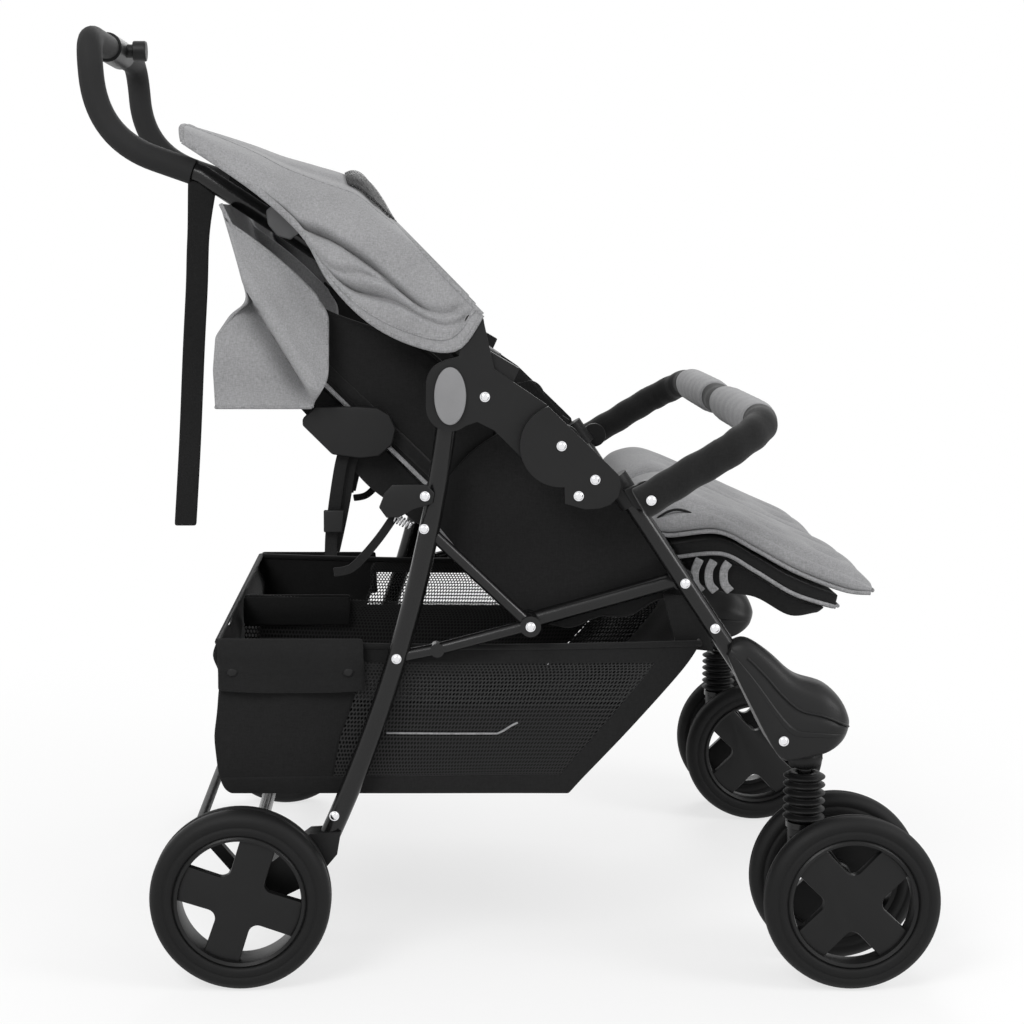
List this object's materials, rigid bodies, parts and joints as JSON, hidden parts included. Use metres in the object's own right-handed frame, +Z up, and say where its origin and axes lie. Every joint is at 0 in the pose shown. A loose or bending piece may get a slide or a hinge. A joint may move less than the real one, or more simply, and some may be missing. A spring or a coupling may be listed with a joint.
{
  "type": "twin pram",
  "caption": "Side-by-side twin pram with a folding tube frame, reclining padded seats, swinging hoods, wrapped bumper bar, wide basket and swivelling front casters.",
  "frame": {"origin": "on the ground below the middle of the pram's overall box", "axes": "+X forward, the way the children face; +Y to the left; +Z up"},
  "size_m": [0.9215, 0.72, 1.019],
  "materials": {
    "tube_black": "gloss",
    "moulded_dark": "satin",
    "cap_grey": "satin",
    "bolt_silver": "polished",
    "steel": "satin",
    "foam_dark": "matte foam",
    "tyre_dark": "matte",
    "bellows_rubber": "satin",
    "fabric_grey": "melange weave",
    "fabric_black": "plain weave",
    "mesh_black": "open hexagonal mesh with woven hems",
    "webbing_black": "ribbed webbing",
    "wrap_black": "padded wrap"
  },
  "bodies": {
    "front_frame": {"front_leg_left": "tube_black", "front_leg_right": "tube_black", "front_lobe_left": "moulded_dark", "front_lobe_right": "moulded_dark", "front_cover_left": "moulded_dark", "front_cover_right": "moulded_dark", "front_crossbar": "tube_black", "bumper_sockets": "moulded_dark", "basket": "mesh_black", "front_bolts": "bolt_silver"},
    "handle_frame": {"handle_tube": "tube_black", "handle_grips": "foam_dark", "knuckle_left": "moulded_dark", "knuckle_right": "moulded_dark", "pivot_caps": "cap_grey", "handle_hub": "moulded_dark", "carry_strap": "webbing_black", "rear_curtains": "fabric_grey"},
    "rear_frame": {"rear_leg_left": "tube_black", "rear_leg_right": "tube_black", "rear_carriers": "moulded_dark", "rear_axle_bar": "steel"},
    "seat_link": {"seat_rails": "tube_black", "side_panels": "fabric_black", "seat_pad_left": "fabric_black", "seat_pad_right": "fabric_black"},
    "brake": {"brake_bar": "moulded_dark"},
    "bumper": {"bumper_bar": "wrap_black", "bumper_bands": "fabric_grey"},
    "release_button": {"fold_button": "moulded_dark"},
    "rear_wheel_left": {"rear_tyre_left": "tyre_dark", "rear_rim_left": "moulded_dark"},
    "slider_left": {"front_slider_left": "steel", "bellows_left": "bellows_rubber"},
    "caster_left": {"caster_yoke_left": "moulded_dark"},
    "front_wheel_left_outer": {"front_tyre_left_outer": "tyre_dark", "front_rim_left_outer": "moulded_dark"},
    "front_wheel_left_inner": {"front_tyre_left_inner": "tyre_dark", "front_rim_left_inner": "moulded_dark"},
    "backrest_left": {"backrest_frame_left": "tube_black", "backrest_pad_left": "fabric_black"},
    "hood_unit_left": {"hood_left": "fabric_grey", "hood_hinge_left": "moulded_dark"},
    "legrest_left": {"legrest_board_left": "fabric_black", "legrest_pad_left": "fabric_grey"},
    "rear_wheel_right": {"rear_tyre_right": "tyre_dark", "rear_rim_right": "moulded_dark"},
    "slider_right": {"front_slider_right": "steel", "bellows_right": "bellows_rubber"},
    "caster_right": {"caster_yoke_right": "moulded_dark"},
    "front_wheel_right_outer": {"front_tyre_right_outer": "tyre_dark", "front_rim_right_outer": "moulded_dark"},
    "front_wheel_right_inner": {"front_tyre_right_inner": "tyre_dark", "front_rim_right_inner": "moulded_dark"},
    "backrest_right": {"backrest_frame_right": "tube_black", "backrest_pad_right": "fabric_black"},
    "hood_unit_right": {"hood_right": "fabric_grey", "hood_hinge_right": "moulded_dark"},
    "legrest_right": {"legrest_board_right": "fabric_black", "legrest_pad_right": "fabric_grey"}
  },
  "joints": [
    {"name": "handle_fold", "type": "hinge", "parent": "front_frame", "child": "handle_frame", "pos_m": [0.061, 0, 0.569], "axis": [0, -1, 0], "range_deg": [0, 90], "deforming": ["basket", "rear_curtains", "carry_strap"]},
    {"name": "rear_fold", "type": "hinge", "parent": "handle_frame", "child": "rear_frame", "pos_m": [-0.054, 0, 0.62], "axis": [0, -1, 0], "range_deg": [-70, 0]},
    {"name": "seat_fold", "type": "hinge", "parent": "front_frame", "child": "seat_link", "pos_m": [0.193, 0, 0.422], "axis": [0, -1, 0], "range_deg": [0, 70]},
    {"name": "brake_pedal", "type": "hinge", "parent": "rear_frame", "child": "brake", "pos_m": [-0.273, 0, 0.095], "axis": [0, -1, 0], "range_deg": [0, 15]},
    {"name": "button_press", "type": "slide", "parent": "handle_frame", "child": "release_button", "axis": [-1, 0, 0], "range_m": [0, 0.005], "stiffness_N_per_m": 400, "springref_m": -0.002},
    {"name": "rear_wheel_spin_left", "type": "hinge", "parent": "rear_frame", "child": "rear_wheel_left", "pos_m": [-0.273, 0.339, 0.095], "axis": [0, 1, 0], "continuous": true},
    {"name": "suspension_left", "type": "slide", "parent": "front_frame", "child": "slider_left", "axis": [0, 0, 1], "range_m": [0, 0.008], "stiffness_N_per_m": 15000, "springref_m": -0.004, "deforming": ["bellows_left"]},
    {"name": "caster_swivel_left", "type": "hinge", "parent": "slider_left", "child": "caster_left", "pos_m": [0.323, 0.301, 0.14], "axis": [0, 0, 1], "continuous": true},
    {"name": "front_wheel_spin_left_outer", "type": "hinge", "parent": "caster_left", "child": "front_wheel_left_outer", "pos_m": [0.366, 0.346, 0.0925], "axis": [0, 1, 0], "continuous": true},
    {"name": "front_wheel_spin_left_inner", "type": "hinge", "parent": "caster_left", "child": "front_wheel_left_inner", "pos_m": [0.366, 0.256, 0.0925], "axis": [0, 1, 0], "continuous": true},
    {"name": "recline_left", "type": "hinge", "parent": "seat_link", "child": "backrest_left", "pos_m": [0.05024, 0.137, 0.38146], "axis": [0, -1, 0], "range_deg": [0, 25], "deforming": ["rear_curtains", "carry_strap"]},
    {"name": "hood_tilt_left", "type": "hinge", "parent": "handle_frame", "child": "hood_unit_left", "pos_m": [-0.029, 0.158, 0.696], "axis": [0, 1, 0], "range_deg": [0, 70]},
    {"name": "legrest_tilt_left", "type": "hinge", "parent": "front_frame", "child": "legrest_left", "pos_m": [0.18101, 0.137, 0.43997], "axis": [0, 1, 0], "range_deg": [0, 24]},
    {"name": "rear_wheel_spin_right", "type": "hinge", "parent": "rear_frame", "child": "rear_wheel_right", "pos_m": [-0.273, -0.339, 0.095], "axis": [0, 1, 0], "continuous": true},
    {"name": "suspension_right", "type": "slide", "parent": "front_frame", "child": "slider_right", "axis": [0, 0, 1], "range_m": [0, 0.008], "stiffness_N_per_m": 15000, "springref_m": -0.004, "deforming": ["bellows_right"]},
    {"name": "caster_swivel_right", "type": "hinge", "parent": "slider_right", "child": "caster_right", "pos_m": [0.323, -0.301, 0.14], "axis": [0, 0, 1], "continuous": true},
    {"name": "front_wheel_spin_right_outer", "type": "hinge", "parent": "caster_right", "child": "front_wheel_right_outer", "pos_m": [0.366, -0.346, 0.0925], "axis": [0, 1, 0], "continuous": true},
    {"name": "front_wheel_spin_right_inner", "type": "hinge", "parent": "caster_right", "child": "front_wheel_right_inner", "pos_m": [0.366, -0.256, 0.0925], "axis": [0, 1, 0], "continuous": true},
    {"name": "recline_right", "type": "hinge", "parent": "seat_link", "child": "backrest_right", "pos_m": [0.05024, -0.137, 0.38146], "axis": [0, -1, 0], "range_deg": [0, 25], "deforming": ["rear_curtains", "carry_strap"]},
    {"name": "hood_tilt_right", "type": "hinge", "parent": "handle_frame", "child": "hood_unit_right", "pos_m": [-0.029, -0.158, 0.696], "axis": [0, 1, 0], "range_deg": [0, 70]},
    {"name": "legrest_tilt_right", "type": "hinge", "parent": "front_frame", "child": "legrest_right", "pos_m": [0.18101, -0.137, 0.43997], "axis": [0, 1, 0], "range_deg": [0, 24]},
    {"name": "bumper_swing", "type": "hinge", "parent": "front_frame", "child": "bumper", "pos_m": [0.151, 0, 0.516], "axis": [0, -1, 0], "range_deg": [0, 60]}
  ],
  "couplings": [
    {"joint": "rear_fold", "follows": "handle_fold", "ratio": -0.76},
    {"joint": "seat_fold", "follows": "handle_fold", "ratio": 0.76}
  ]
}
